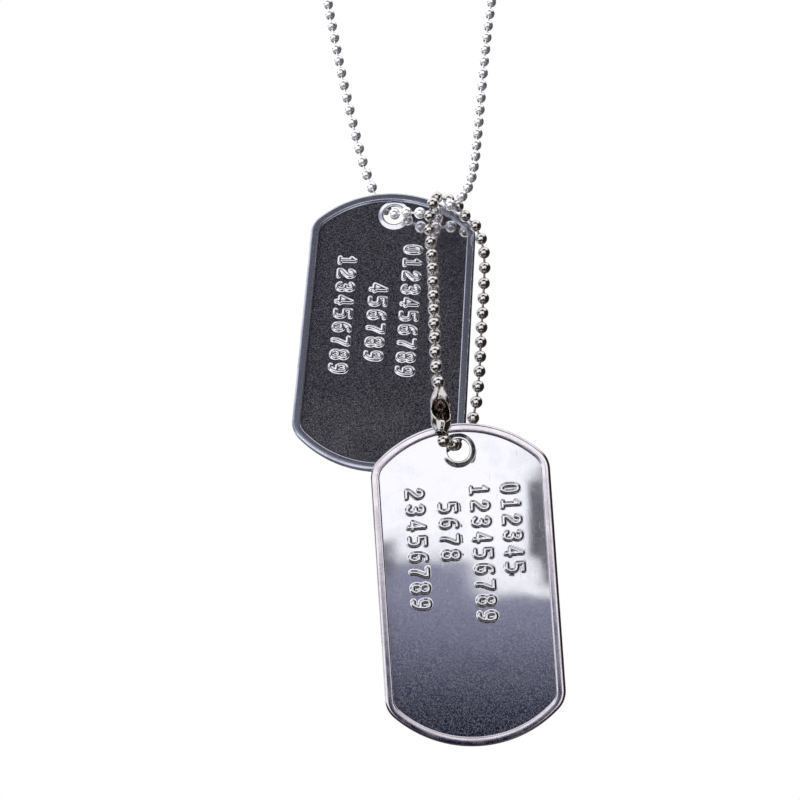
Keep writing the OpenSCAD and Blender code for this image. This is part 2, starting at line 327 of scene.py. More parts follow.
@dataclass(frozen=True)
class BrightPlate:
    """Bright nickel plating with a warm tint, a little grime and small dents."""

    name: str
    colour: Colour = (0.80, 0.775, 0.735)
    grime_colour: Colour = (0.30, 0.27, 0.235)
    grime_from: float = 0.60
    grime_reach: float = 0.2
    most_grime: float = 0.75
    smooth: float = 0.025
    rough: float = 0.08
    bare: float = 1.0
    spots: Noise = Noise(900.0, 4.0, 0.4)
    spot_span: Span = (0.35, 0.75)
    specks: Noise = Noise(3800.0)
    speck_depth: float = 1.0e-6
    dents: Noise = Noise(700.0)
    dent_depth: float = 1.1e-5

    def material(self) -> bpy.types.Material:
        """Build the finish.

        Returns:
            The material.
        """
        made, wiring = new_material(self.name, self.colour)
        place = wiring.object_place()
        spots = wiring.noise(place, self.spots)
        grime_span = (self.grime_from, self.grime_from + self.grime_reach)
        grime = wiring.spread(spots, grime_span, (0.0, self.most_grime))
        roughness = wiring.spread(spots, self.spot_span, (self.smooth, self.rough))
        dents = wiring.bump(wiring.noise(place, self.dents), self.dent_depth)
        normal = wiring.bump(wiring.noise(place, self.specks), self.speck_depth, dents)
        wiring.metal(wiring.mix(grime, self.colour, self.grime_colour), roughness, normal, self.bare)
        return made


@dataclass(frozen=True)
class DrawnWire:
    """Drawn link wire: darker, with fine lines along it and patches of grime."""

    name: str
    colour: Colour = (0.52, 0.50, 0.48)
    grime_colour: Colour = (0.16, 0.145, 0.13)
    smooth: float = 0.16
    rough: float = 0.34
    bare: float = 1.0
    grime: Noise = Noise(1500.0, 4.0)
    grime_span: Span = (0.38, 0.66)
    lines: Noise = Noise(9000.0)
    line_span: Span = (0.3, 0.7)
    line_stretch: Point = (1.0, 1.0, 0.12)
    line_depth: float = 2.0e-6

    def material(self) -> bpy.types.Material:
        """Build the finish.

        Returns:
            The material.
        """
        made, wiring = new_material(self.name, self.colour)
        grime = wiring.spread(wiring.noise(wiring.object_place(), self.grime), self.grime_span)
        lines = wiring.noise(wiring.object_place(self.line_stretch), self.lines)
        roughness = wiring.spread(lines, self.line_span, (self.smooth, self.rough))
        normal = wiring.bump(lines, self.line_depth)
        wiring.metal(wiring.mix(grime, self.colour, self.grime_colour), roughness, normal, self.bare)
        return made


@dataclass(frozen=True)
class ChainFinishes:
    """The materials of one chain."""

    beads: bpy.types.Material
    links: bpy.types.Material
    sleeve: bpy.types.Material
    lining: bpy.types.Material


@dataclass(frozen=True)
class Dressing:
    """How a piece is named, finished and tied to the model."""

    name: str
    node: str
    body: Body
    slot: Slot
    material: bpy.types.Material
    lining: bpy.types.Material | None = None


def stored(shape: bmesh.types.BMesh, name: str) -> bpy.types.Mesh:
    """Store a bmesh as a mesh and free it.

    Args:
        shape: The bmesh, which can't be used afterwards.
        name: The mesh's name.

    Returns:
        The mesh.
    """
    mesh = bpy.data.meshes.new(name)
    shape.to_mesh(mesh)
    shape.free()
    return mesh


def placed(name: str, data: bpy.types.ID) -> bpy.types.Object:
    """Put a mesh, light or camera in the scene.

    Args:
        name: The object's name.
        data: What it shows.

    Returns:
        The object, at the origin.
    """
    made = bpy.data.objects.new(name, data)
    bpy.context.scene.collection.objects.link(made)
    return made


def make_piece(shape: bmesh.types.BMesh, dressing: Dressing) -> None:
    """Turn a bmesh in millimetres into a finished piece at the origin.

    Args:
        shape: The mesh, which is freed.
        dressing: Its name, node, body, slot and material.
    """
    bmesh.ops.scale(shape, vec=(MM, MM, MM), verts=shape.verts)
    bmesh.ops.recalc_face_normals(shape, faces=shape.faces)
    for face in shape.faces:
        face.smooth = True
    mesh = stored(shape, dressing.name)
    for material in (dressing.material, dressing.lining):
        if material is not None:
            mesh.materials.append(material)
    piece = placed(dressing.name, mesh)
    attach(piece, dressing.body.value)
    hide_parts(dressing.node)
    LOG.info("%s: %d faces", dressing.name, len(mesh.polygons))


def picked(made: list[object], kind: type) -> list:
    """Pick the verts or the edges out of what an operator made."""
    return [item for item in made if isinstance(item, kind)]


def profile_edges(shape: bmesh.types.BMesh, points: list[Point],
                  closed: bool = False) -> list[bmesh.types.BMEdge]:
    """Draw a line through points, as the profile that an operator sweeps.

    Args:
        shape: The bmesh to draw in.
        points: The line's points.
        closed: Whether the last point joins the first.

    Returns:
        The line's edges.
    """
    verts = [shape.verts.new(point) for point in points]
    ends = verts[1:] + (verts[:1] if closed else [])
    return [shape.edges.new(pair) for pair in zip(verts, ends)]


def spun(points: list[Flat], around: int) -> bpy.types.Mesh:
    """Spin a profile about Z.

    Args:
        points: Radius and height of each point of the profile.
        around: Steps of the full turn.

    Returns:
        The closed shape as a mesh.
    """
    shape = bmesh.new()
    edges = profile_edges(shape, [(radius, 0.0, height) for radius, height in points])
    bmesh.ops.spin(shape, geom=edges, cent=(0, 0, 0), axis=(0, 0, 1), angle=math.tau, steps=around,
                   use_merge=True)
    bmesh.ops.remove_doubles(shape, verts=shape.verts, dist=WELD)
    bmesh.ops.recalc_face_normals(shape, faces=shape.faces)
    return stored(shape, "spun")


def aimed(at: Vector, towards: Vector) -> Matrix:
    """Give the place of a shape that stands at a point with its Z axis along a direction."""
    return Matrix.Translation(at) @ towards.to_track_quat("Z", "Y").to_matrix().to_4x4()


def stamped_along(shape: bmesh.types.BMesh, pattern: bpy.types.Mesh, places: list[Matrix]) -> None:
    """Copy a mesh to each place of a list.

    Args:
        shape: The bmesh that takes the copies.
        pattern: The mesh that is copied, and removed at the end.
        places: Where each copy goes.
    """
    for place in places:
        copy = pattern.copy()
        copy.transform(place)
        shape.from_mesh(copy)
        bpy.data.meshes.remove(copy)
    bpy.data.meshes.remove(pattern)


class Route:
    """A smooth closed curve through points, found by the way gone along it."""

    cuts: int = 12

    def __init__(self, points: list[Point]) -> None:
        """Cut the curve into short steps and measure the way along them.

        Args:
            points: The corners that the curve passes through.
        """
        corners = np.array(points, float)
        count = len(corners)
        steps = []
        for i in range(count):
            span = (corners[i - 1], corners[i], corners[(i + 1) % count], corners[(i + 2) % count])
            steps += [self.between(*span, step) for step in range(self.cuts)]
        self.line = np.array(steps + steps[:1])
        lengths = np.linalg.norm(np.diff(self.line, axis=0), axis=1)
        self.ways = np.concatenate([[0.0], np.cumsum(lengths)])
        self.length = float(self.ways[-1])

    def between(self, before: np.ndarray, first: np.ndarray, last: np.ndarray, after: np.ndarray,
                step: int) -> np.ndarray:
        """Give a point of the span between two corners.

        Args:
            before: The corner before the span.
            first: The corner that the span starts at.
            last: The corner that it ends at.
            after: The corner after it.
            step: Which of the span's steps.

        Returns:
            The point on the curve.
        """
        t1 = math.sqrt(np.linalg.norm(first - before))
        t2 = t1 + math.sqrt(np.linalg.norm(last - first))
        t3 = t2 + math.sqrt(np.linalg.norm(after - last))
        t = t1 + (t2 - t1) * step / self.cuts
        a1 = self.blend(before, first, 0.0, t1, t)
        a2 = self.blend(first, last, t1, t2, t)
        a3 = self.blend(last, after, t2, t3, t)
        return self.blend(self.blend(a1, a2, 0.0, t2, t), self.blend(a2, a3, t1, t3, t), t1, t2, t)

    @staticmethod
    def blend(a: np.ndarray, b: np.ndarray, start: float, end: float, t: float) -> np.ndarray:
        """Go from one point to another as t goes from start to end."""
        return (a * (end - t) + b * (t - start)) / (end - start)

    def way_of(self, corner: int) -> float:
        """Give the way at which the curve passes a corner."""
        return float(self.ways[corner * self.cuts])

    def at(self, way: float) -> Vector:
        """Give the point at a way, which may run past the closed curve's end."""
        wrapped = way % self.length
        return Vector([float(np.interp(wrapped, self.ways, self.line[:, k])) for k in range(3)])


NECK_CORNERS: list[Point] = [
    (-9.4, -149.1, -204.8), (-7.6, -154.0, -214.6), (-6.1, -157.4, -222.1), (-3.8, -161.4, -232.3),
    (-1.6, -164.4, -240.6), (0.2, -166.1, -244.9), (1.9, -167.4, -247.4), (3.5, -169.6, -248.6),
    (5.7, -171.4, -248.6), (7.7, -172.7, -248.9), (12.2, -173.8, -248.1), (14.4, -174.2, -246.8),
    (16.1, -171.9, -244.3), (17.2, -169, -240.7), (18.1, -164.6, -234.7), (19, -160.4, -226.8),
    (19.9, -156.7, -218.6), (20.9, -153.2, -210.8), (21.9, -150, -203.8), (25.5, -117, -163),
    (31, -91, -126), (39, -68, -93.5), (50.5, -44.5, -59.5), (53, -28.5, -36.5), (41.5, -14, -16),
    (18.5, -3.5, -1.7), (0, -1.5, 1), (-18.5, -3.5, -1.7), (-41.5, -14, -16), (-53, -28.5, -36.5),
    (-50.5, -44.5, -59.5), (-35, -68, -93.5), (-24, -91, -126), (-15.5, -117, -163),
]
SHORT_CORNERS: list[Point] = [
    (10.8, -188.8, -279.3), (10.9, -190.6, -282.9), (11, -192.3, -286.2), (11.3, -192.6, -287.4),
    (13, -190.5, -288.1), (13.5, -187.9, -288.1), (15.2, -187, -286.2), (16.3, -187, -283.8),
    (17.3, -185, -277.7), (17.9, -181.4, -270.2), (18.5, -178.4, -262.9), (18.7, -176.9, -256.4),
    (17.9, -175.2, -252.5), (17.1, -174.6, -251), (15.3, -173.5, -249.2), (13.8, -171.2, -246.5),
    (13.3, -171.4, -246.5), (10.8, -173.3, -246.3), (9.8, -176.2, -248.7), (9.5, -174.1, -251.1),
    (9.8, -176.2, -254.8), (10, -179.7, -261.4), (10.1, -183.7, -269), (10.3, -187.2, -275.4),
]


@dataclass
class BallChain:
    """Hollow drilled beads and the headed wires that link them.

    A bead's faces are given as two counts: round it, and from one drilled end to the other.
    """

    bead_d: float = 2.0
    bead_step: float = 2.75
    drill_r: float = 0.31
    drill_taper: float = 0.02
    wall: float = 0.16
    wire_d: float = 0.38
    wire_faces: int = 8
    head_d: float = 0.8
    head_t: float = 0.2
    head_way: float = 0.32

    def bead(self, faces: tuple[int, int]) -> bpy.types.Mesh:
        """Spin one bead about its drilling.

        Args:
            faces: Faces round it and along it.

        Returns:
            The bead, closed a little way inside its drilling.
        """
        around, along = faces
        radius = self.bead_d / 2
        edge = math.asin(self.drill_r / radius)
        turns = [edge + (math.pi - 2 * edge) * i / along for i in range(along + 1)]
        dome = [(radius * math.sin(turn), radius * math.cos(turn)) for turn in turns]
        inside = radius * math.cos(edge) - self.wall
        blind = self.drill_r - self.drill_taper
        return spun([(0.0, inside), (blind, inside), *dome, (blind, -inside), (0.0, -inside)], around)

    def link(self, long: float) -> bpy.types.Mesh:
        """Spin one link, which runs up from the middle of its lower bead.

        Args:
            long: The way between the middles of its two beads.

        Returns:
            The headed wire.
        """
        wire = self.wire_d / 2
        head = self.head_d / 2
        low = self.head_way
        high = long - self.head_way
        return spun([(0.0, low), (head, low), (head, low + self.head_t), (wire, low + self.head_t),
                     (wire, high - self.head_t), (head, high - self.head_t), (head, high), (0.0, high)],
                    self.wire_faces)

    def bead_shape(self, middles: list[Vector], before: Vector, after: Vector,
                   faces: tuple[int, int]) -> bmesh.types.BMesh:
        """String beads on a line of points.

        Args:
            middles: The beads' middles.
            before: The point before the first, which it faces.
            after: The point after the last.
            faces: Faces round a bead and along it.

        Returns:
            All the beads.
        """
        line = [before, *middles, after]
        places = [aimed(line[i], (line[i + 1] - line[i]).normalized() + (line[i] - line[i - 1]).normalized())
                  for i in range(1, len(line) - 1)]
        shape = bmesh.new()
        stamped_along(shape, self.bead(faces), places)
        return shape

    def link_shape(self, pairs: list[tuple[Vector, Vector]]) -> bmesh.types.BMesh:
        """Run a link between each pair of beads.

        Args:
            pairs: The two beads' middles for each link.

        Returns:
            All the links.
        """
        shape = bmesh.new()
        for low, high in pairs:
            stamped_along(shape, self.link((high - low).length), [aimed(low, high - low)])
        return shape


@dataclass
class SnapConnector:
    """A drawn sleeve with narrow ends, open along one side, that the end beads snap into."""

    length: float = 7.8
    diameter: float = 3.3
    end_d: float = 2.0
    end_l: float = 0.4
    shoulder: float = 1.9
    wall: float = 0.25
    window: float = 2.6
    window_l: float = 4.2
    window_up: float = 0.35
    window_skew: float = 14.0
    slit: float = 0.26
    gap: float = 0.3
    along: int = 44
    around: int = 40

    def hold(self, chain: BallChain) -> float:
        """Give the way from an end to the middle of the bead that it holds."""
        return chain.bead_step - chain.bead_d / 2 - self.gap

    def radius(self, height: float) -> float:
        """Give the sleeve's outer radius.

        Args:
            height: Height above its foot.

        Returns:
            The radius there, which eases in over the shoulder of either end.
        """
        near_end = min(height, self.length - height)
        share = min(max((near_end - self.end_l) / self.shoulder, 0.0), 1.0)
        eased = math.sin(share * math.pi / 2)
        return (self.end_d + (self.diameter - self.end_d) * eased) / 2

    def half_opening(self, height: float) -> float:
        """Give half the width of the opening: a leaf-shaped window that runs out in slits.

        Args:
            height: Height above the sleeve's foot.

        Returns:
            Half the width there.
        """
        share = abs(height - self.length / 2 - self.window_up) / (self.window_l / 2)
        leaf = math.sqrt(max(1.0 - share ** 2, 0.0))
        return max(self.slit, self.window * leaf) / 2

    def shape(self, foot: Vector, top: Vector) -> bmesh.types.BMesh:
        """Roll the sleeve from a flat grid and stand it between two points.

        Args:
            foot: Where its foot is.
            top: The point that it runs up to.

        Returns:
            The sleeve, its opening towards the front.
        """
        shape = bmesh.new()
        bmesh.ops.create_grid(shape, x_segments=self.around, y_segments=self.along, size=1.0)
        for vert in shape.verts:
            height = (vert.co.y + 1) / 2 * self.length
            radius = self.radius(height) - self.wall
            gap = math.asin(min(self.half_opening(height) / radius, 1.0))
            skew = math.radians(self.window_skew) * math.sin(math.pi * height / self.length * 2)
            turn = -math.pi / 2 + skew + gap + (vert.co.x + 1) * (math.pi - gap)
            vert.co = (radius * math.cos(turn), radius * math.sin(turn), height)
        bmesh.ops.recalc_face_normals(shape, faces=shape.faces)
        bmesh.ops.solidify(shape, geom=shape.faces, thickness=-self.wall)
        bmesh.ops.recalc_face_normals(shape, faces=shape.faces)
        shape.normal_update()
        # Faces towards the axis take the lining, whose dark colour is partly dirt and partly painted shade
        # inside the hollow sleeve.
        for face in shape.faces:
            middle = face.calc_center_median()
            inward = face.normal.x * middle.x + face.normal.y * middle.y
            face.material_index = 1 if inward < 0 else 0
        spare = ((top - foot).length - self.length) / 2
        place = aimed(foot, top - foot) @ Matrix.Translation((0, 0, spare))
        front = place.to_3x3().inverted() @ Vector((0, -1, 0))
        turn = math.atan2(front.y, front.x) + math.pi / 2
        bmesh.ops.transform(shape, matrix=place @ Matrix.Rotation(turn, 4, "Z"), verts=shape.verts)
        return shape


@dataclass(frozen=True)
class DigitRow:
    """A row of stamped digits that reads down the tag.

    The place across is a share of the tag's width; the drop counts digits from the top row.
    """

    across: float
    drop: int
    first: int
    count: int


REAR_ROWS: list[DigitRow] = [DigitRow(0.13, 0, 0, 10), DigitRow(-0.06, 3, 4, 6), DigitRow(-0.26, 1, 1, 9)]
FRONT_ROWS: list[DigitRow] = [DigitRow(0.27, 0, 0, 6), DigitRow(0.1, 0, 1, 9), DigitRow(-0.08, 1, 5, 4),
                              DigitRow(-0.26, 0, 2, 8)]

# Each digit's strokes, in a box one wide and one high.
DIGIT_STROKES: list[list[list[Flat]]] = [
    [[(0.5, 0), (0.3, 0), (0, 0.2), (0, 0.8), (0.3, 1), (0.7, 1), (1, 0.8), (1, 0.2), (0.7, 0), (0.5, 0)]],
    [[(0.5, 1), (0.5, 0)], [(0.1, 0), (0.9, 0)], [(0.5, 0.95), (0.15, 0.78)]],
    [[(0, 0.75), (0.25, 1), (0.75, 1), (1, 0.8), (1, 0.6), (0, 0.2), (0, 0)], [(0, 0), (1, 0)]],
    [[(0, 0.85), (0.25, 1), (0.75, 1), (1, 0.85), (1, 0.65), (0.7, 0.52), (0.35, 0.52)],
     [(0.6, 0.52), (1, 0.4), (1, 0.15), (0.75, 0), (0.25, 0), (0, 0.15)]],
    [[(0.75, 1), (0.75, 0)], [(0.72, 0.95), (0.05, 0.32)], [(0, 0.25), (1, 0.25)]],
    [[(1, 1), (0, 1)], [(0, 1), (0, 0.6)], [(0, 0.6), (0.7, 0.6), (1, 0.45), (1, 0.15), (0.75, 0), (0, 0)]],
    [[(0.95, 1), (0.4, 1), (0, 0.65), (0, 0.15), (0.25, 0), (0.75, 0), (1, 0.15), (1, 0.4), (0.75, 0.55)],
     [(0.8, 0.55), (0.1, 0.55)]],
    [[(0, 1), (1, 1)], [(1, 1), (1, 0.85), (0.4, 0.3), (0.4, 0)]],
    [[(0.5, 0.53), (0.25, 0.53), (0, 0.68), (0, 0.87), (0.25, 1), (0.75, 1), (1, 0.87), (1, 0.68),
      (0.75, 0.53), (0.5, 0.53)],
     [(0.5, 0.5), (0.25, 0.5), (0, 0.37), (0, 0.13), (0.25, 0), (0.75, 0), (1, 0.13), (1, 0.37),
      (0.75, 0.5), (0.5, 0.5)]],
    [[(0.05, 0), (0.6, 0), (1, 0.35), (1, 0.85), (0.75, 1), (0.25, 1), (0, 0.85), (0, 0.6), (0.25, 0.45)],
     [(0.2, 0.45), (0.9, 0.45)]],
]

# The collar's rings: share of the way in from its outer edge to the hole, and share of its height.
COLLAR_RINGS: list[Flat] = [
    (0.04, 0.01), (0.1, 0.08), (0.25, 0.3), (0.45, 0.6), (0.62, 0.85), (0.72, 0.96), (0.8, 1.0), (0.88, 1.0),
    (0.95, 0.88), (1.0, 0.55),
]


@dataclass(frozen=True)
class DigitStamp:
    """The punch that raises digits from the back of the sheet.

    A stroke is level up to the crest's distance from its middle and falls to the sheet at the foot's.
    Any point starts out as far as no stroke reaches, and no run counts as shorter than the least.
    """

    height: float = 3.1
    width: float = 1.6
    step: float = 2.5
    drop: float = 6.5
    stroke: float = 0.5
    relief: float = 0.21
    crest: float = 0.12
    foot: float = 0.41
    straight: float = 0.6
    margin: float = 0.45
    corner_cut: float = 0.25
    cut_rounds: int = 2
    far: float = 9.0
    least_run: float = 1e-9

    def smooth(self, path: list[Flat]) -> np.ndarray:
        """Round a stroke's corners by cutting them off, keeping its ends.

        Args:
            path: The stroke's points.

        Returns:
            The rounded stroke's points.
        """
        points = np.array(path, float)
        for _ in range(self.cut_rounds):
            if len(points) < 3:
                break
            near = points[:-1] * (1 - self.corner_cut) + points[1:] * self.corner_cut
            far = points[:-1] * self.corner_cut + points[1:] * (1 - self.corner_cut)
            cut = np.stack([near, far], axis=1).reshape(-1, 2)
            points = np.vstack([points[:1], cut[1:-1], points[-1:]])
        return points

    def centres(self, row: DigitRow, tag: Tag) -> list[Flat]:
        """Give the middles of a row's digits on a tag."""
        return [(row.across * tag.width, tag.hole_y - self.drop - (row.drop + i) * self.step)
                for i in range(row.count)]

    def strokes(self, rows: list[DigitRow], tag: Tag) -> np.ndarray:
        """Give every stroke's straight pieces on a tag.

        Args:
            rows: The rows of digits.
            tag: The tag that takes them.

        Returns:
            An array of start and end points, by piece.
        """
        box = np.array([self.width - self.stroke, self.height - self.stroke])
        pieces = []
        for row in rows:
            for i, (x, y) in enumerate(self.centres(row, tag)):
                for path in DIGIT_STROKES[(row.first + i) % len(DIGIT_STROKES)]:
                    upright = (self.smooth(path) - 0.5) * box
                    turned = np.stack([upright[:, 1] + x, -upright[:, 0] + y], axis=1)
                    pieces.append(np.stack([turned[:-1], turned[1:]], axis=1))
        return np.concatenate(pieces)

    def heights(self, points: np.ndarray, strokes: np.ndarray) -> np.ndarray:
        """Give how far the punch raises each point.

        Args:
            points: Points of the sheet.
            strokes: The strokes' straight pieces.

        Returns:
            The height at each point.
        """
        nearest = np.full(len(points), self.far)
        for start, end in strokes:
            run = end - start
            share = np.clip(((points - start) @ run) / max(run @ run, self.least_run), 0.0, 1.0)
            away = np.linalg.norm(points - start - share[:, None] * run, axis=1)
            nearest = np.minimum(nearest, away)
        share = np.clip((self.foot - nearest) / (self.foot - self.crest), 0.0, 1.0)
        eased = share * share * (3 - 2 * share)
        return self.relief * (self.straight * share + (1 - self.straight) * eased)


@dataclass
class Tag:
    """One tag: a sheet with a collared hole and raised digits, its edge rolled into a rim."""

    name: str
    node: str
    body: Body
    hole: Point
    lean: float
    tilt: float
    rows: list[DigitRow]
    turn: float = -3.0
    width: float = 28.6
    height: float = 51.0
    end_r: float = 19.0
    corner_r: float = 4.0
    rim_w: float = 1.45
    rim_t: float = 1.2
    roll_r: float = 0.46
    crease_r: float = 0.2
    crown: float = 0.04
    roll_steps: int = 6
    side_steps: int = 12
    corner_steps: int = 10
    end_steps: int = 26
    seam: float = 1e-3
    plate_t: float = 0.4
    hole_d: float = 3.6
    hole_drop: float = 4.3
    collar_d: float = 5.6
    collar_h: float = 0.27
    collar_room: float = 0.15
    cell: float = 0.5
    fine_cuts: int = 4
    stamp: DigitStamp = field(default_factory=DigitStamp)

    @property
    def hole_y(self) -> float:
        """Height of the hole above the tag's middle."""
        return self.height / 2 - self.hole_drop

    @property
    def corner_x(self) -> float:
        """Distance of a corner arc's middle from the tag's middle line."""
        return self.width / 2 - self.corner_r

    @property
    def arc_y(self) -> float:
        """Height of the end arc's middle."""
        return self.height / 2 - self.end_r

    @property
    def corner_y(self) -> float:
        """Height of a corner arc's middle."""
        return self.arc_y + math.sqrt((self.end_r - self.corner_r) ** 2 - self.corner_x ** 2)

    @property
    def corner_turn(self) -> float:
        """Turn of a corner arc, in radians."""
        return math.atan2(self.corner_y - self.arc_y, self.corner_x)

    def place(self) -> Matrix:
        """Give the tag's place.

        Returns:
            The move from the tag's own plane, y up and z to the front, to where it hangs.
        """
        return (Matrix.Translation(self.hole)
                @ Matrix.Rotation(math.radians(self.turn), 4, "Z")
                @ Matrix.Rotation(math.radians(-self.lean), 4, "X")
                @ Matrix.Rotation(math.radians(self.tilt), 4, "Y")
                @ Matrix.Rotation(math.radians(90), 4, "X")
                @ Matrix.Translation((0, -self.hole_y, 0)))

    def top_of(self, x: float) -> float:
        """Give the outline's height along the middle of the rim.

        Args:
            x: The place across.

        Returns:
            The height there above the tag's middle.
        """
        inset = self.rim_w / 2
        bend = self.corner_x + (self.corner_r - inset) * math.cos(self.corner_turn)
        if abs(x) <= bend:
            return self.arc_y + math.sqrt((self.end_r - inset) ** 2 - x * x)
        past = abs(x) - self.corner_x
        return self.corner_y + math.sqrt(max((self.corner_r - inset) ** 2 - past ** 2, 0.0))

    def blank(self) -> bmesh.types.BMesh:
        """Cut the sheet's outline from a grid.

        Returns:
            The flat sheet.
        """
        half = (self.width - self.rim_w) / 2
        columns = round(2 * half / self.cell)
        rows = round((self.height - self.rim_w) / self.cell)
        shape = bmesh.new()
        bmesh.ops.create_grid(shape, x_segments=columns, y_segments=rows, size=1.0)
        for vert in shape.verts:
            x = vert.co.x * half
            vert.co = (x, vert.co.y * self.top_of(x), 0.0)
        return shape

    def refine(self, shape: bmesh.types.BMesh) -> None:
        """Cut the faces under the digits into fine ones.

        Args:
            shape: The flat sheet.
        """
        reach_x = self.stamp.height / 2 + self.stamp.margin
        reach_y = self.stamp.width / 2 + self.stamp.margin
        spots = [spot for row in self.rows for spot in self.stamp.centres(row, self)]
        near = set()
        for face in shape.faces:
            middle = face.calc_center_median()
            if any(abs(middle.x - x) < reach_x and abs(middle.y - y) < reach_y for x, y in spots):
                near.update(face.edges)
        bmesh.ops.subdivide_edges(shape, edges=list(near), cuts=self.fine_cuts, use_grid_fill=True)

    def collar_profile(self) -> list[Flat]:
        """Give the collar's rings.

        Returns:
            Radius and height of each ring, from the collar's outer edge to the hole.
        """
        outer = self.collar_d / 2
        inner = self.hole_d / 2
        return [(outer, 0.0)] + [(outer + (inner - outer) * share, self.collar_h * rise)
                                 for share, rise in COLLAR_RINGS]

    def pierce(self, shape: bmesh.types.BMesh) -> None:
        """Open the sheet round the hole and press up the raised collar round it, ring by ring.

        Args:
            shape: The flat sheet.
        """
        window = self.collar_d / 2 + self.collar_room
        centre = Vector((0, self.hole_y, 0))
        inner = [face for face in shape.faces
                 if max(abs(v) for v in (face.calc_center_median() - centre).xy) < window]
        bmesh.ops.delete(shape, geom=inner, context="FACES")
        ring = [edge for edge in shape.edges
                if edge.is_boundary and (edge.verts[0].co - centre).length < 2 * window
                and edge.verts[0].co.y < self.top_of(edge.verts[0].co.x) - self.cell / 2]
        for radius, rise in self.collar_profile():
            made = bmesh.ops.extrude_edge_only(shape, edges=ring)["geom"]
            ring = picked(made, bmesh.types.BMEdge)
            for vert in picked(made, bmesh.types.BMVert):
                out = vert.co - centre
                out.z = 0
                vert.co = centre + out.normalized() * radius
                vert.co.z = rise

    def sheet(self) -> bmesh.types.BMesh:
        """Stamp the sheet.

        Returns:
            The sheet with its hole, collar and raised digits, hollow behind.
        """
        shape = self.blank()
        self.refine(shape)
        self.pierce(shape)
        verts = list(shape.verts)
        flat = np.array([vert.co.xy for vert in verts])
        strokes = self.stamp.strokes(self.rows, self)
        for vert, height in zip(verts, self.stamp.heights(flat, strokes)):
            vert.co.z += height
        bmesh.ops.translate(shape, vec=(0, 0, self.plate_t / 2), verts=shape.verts)
        made = bmesh.ops.extrude_face_region(shape, geom=shape.faces[:], use_keep_orig=True)["geom"]
        lower = picked(made, bmesh.types.BMVert)
        bmesh.ops.translate(shape, vec=(0, 0, -self.plate_t), verts=lower)
        return shape

    def rim_section(self) -> list[Flat]:
        """Give the rolled section: a wide curve outside, a tight one inside and a crowned top.

        Returns:
            The section's points, across from the rim's middle and up from the sheet's.
        """
        x = self.rim_w / 2
        y = self.rim_t / 2
        upper = []
        for radius, start in ((self.roll_r, 0.0), (self.crease_r, math.pi / 2)):
            centre_x = x - radius if start == 0.0 else radius - x
            for i in range(self.roll_steps + 1):
                turn = start + math.pi / 2 * i / self.roll_steps
                upper.append((centre_x + radius * math.cos(turn), y - radius + radius * math.sin(turn)))
        crowned = [(across, up - self.crown * (across / x) ** 2) for across, up in upper]
        return crowned + [(across, -up) for across, up in reversed(crowned)]

    def rim(self) -> bmesh.types.BMesh:
        """Roll the rim: up half a side, round a corner, over half an end, and mirrored twice.

        Returns:
            The closed rim.
        """
        shape = bmesh.new()
        points = [(self.width / 2 - self.rim_w / 2 + x, 0.0, z) for x, z in self.rim_section()]
        edges = profile_edges(shape, points, closed=True)
        for _ in range(self.side_steps):
            made = bmesh.ops.extrude_edge_only(shape, edges=edges)["geom"]
            edges = picked(made, bmesh.types.BMEdge)
            bmesh.ops.translate(shape, vec=(0, self.corner_y / self.side_steps, 0),
                                verts=picked(made, bmesh.types.BMVert))
        corner = Vector((self.corner_x, self.corner_y, 0))
        end = Vector((0, self.arc_y, 0))
        for centre, turn, steps in ((corner, self.corner_turn, self.corner_steps),
                                    (end, math.pi / 2 - self.corner_turn, self.end_steps)):
            made = bmesh.ops.spin(shape, geom=edges, cent=centre, axis=(0, 0, 1), angle=turn, steps=steps)
            edges = picked(made["geom_last"], bmesh.types.BMEdge)
        for axis in "XY":
            half = shape.verts[:] + shape.edges[:] + shape.faces[:]
            bmesh.ops.mirror(shape, geom=half, axis=axis, merge_dist=self.seam)
        bmesh.ops.remove_doubles(shape, verts=shape.verts, dist=self.seam)
        return shape

    def build(self, sheet_steel: bpy.types.Material, rim_steel: bpy.types.Material) -> None:
        """Make and dress both pieces of the tag.

        Args:
            sheet_steel: The sheet's finish.
            rim_steel: The rim's finish.
        """
        for part, shape, steel in (("sheet", self.sheet(), sheet_steel), ("rim", self.rim(), rim_steel)):
            bmesh.ops.transform(shape, matrix=self.place(), verts=shape.verts)
            make_piece(shape, Dressing(f"{self.name}_{part}", self.node, self.body, Slot.TAG, steel))


@dataclass
class ChainLoop:
    """What both loops of chain share: their beads, links, connector and finishes."""

    finishes: ChainFinishes
    chain: BallChain = field(default_factory=BallChain)
    connector: SnapConnector = field(default_factory=SnapConnector)

    def dress_beads(self, name: str, node: str, shape: bmesh.types.BMesh) -> None:
        """Make a piece of a stretch's beads."""
        make_piece(shape, Dressing(name, node, Body.CHAINS, Slot.CHAIN, self.finishes.beads))

    def dress_links(self, name: str, node: str, pairs: list[tuple[Vector, Vector]]) -> None:
        """Link the pairs of beads of a stretch and make a piece of the links."""
        shape = self.chain.link_shape(pairs)
        make_piece(shape, Dressing(name, node, Body.CHAINS, Slot.LINK, self.finishes.links))

    def dress_connector(self, name: str, node: str, foot: Vector, top: Vector) -> None:
        """Stand the connector between two points and make a piece of it."""
        shape = self.connector.shape(foot, top)
        make_piece(shape, Dressing(name, node, Body.CHAINS, Slot.CHAIN, self.finishes.sleeve,
                                   self.finishes.lining))


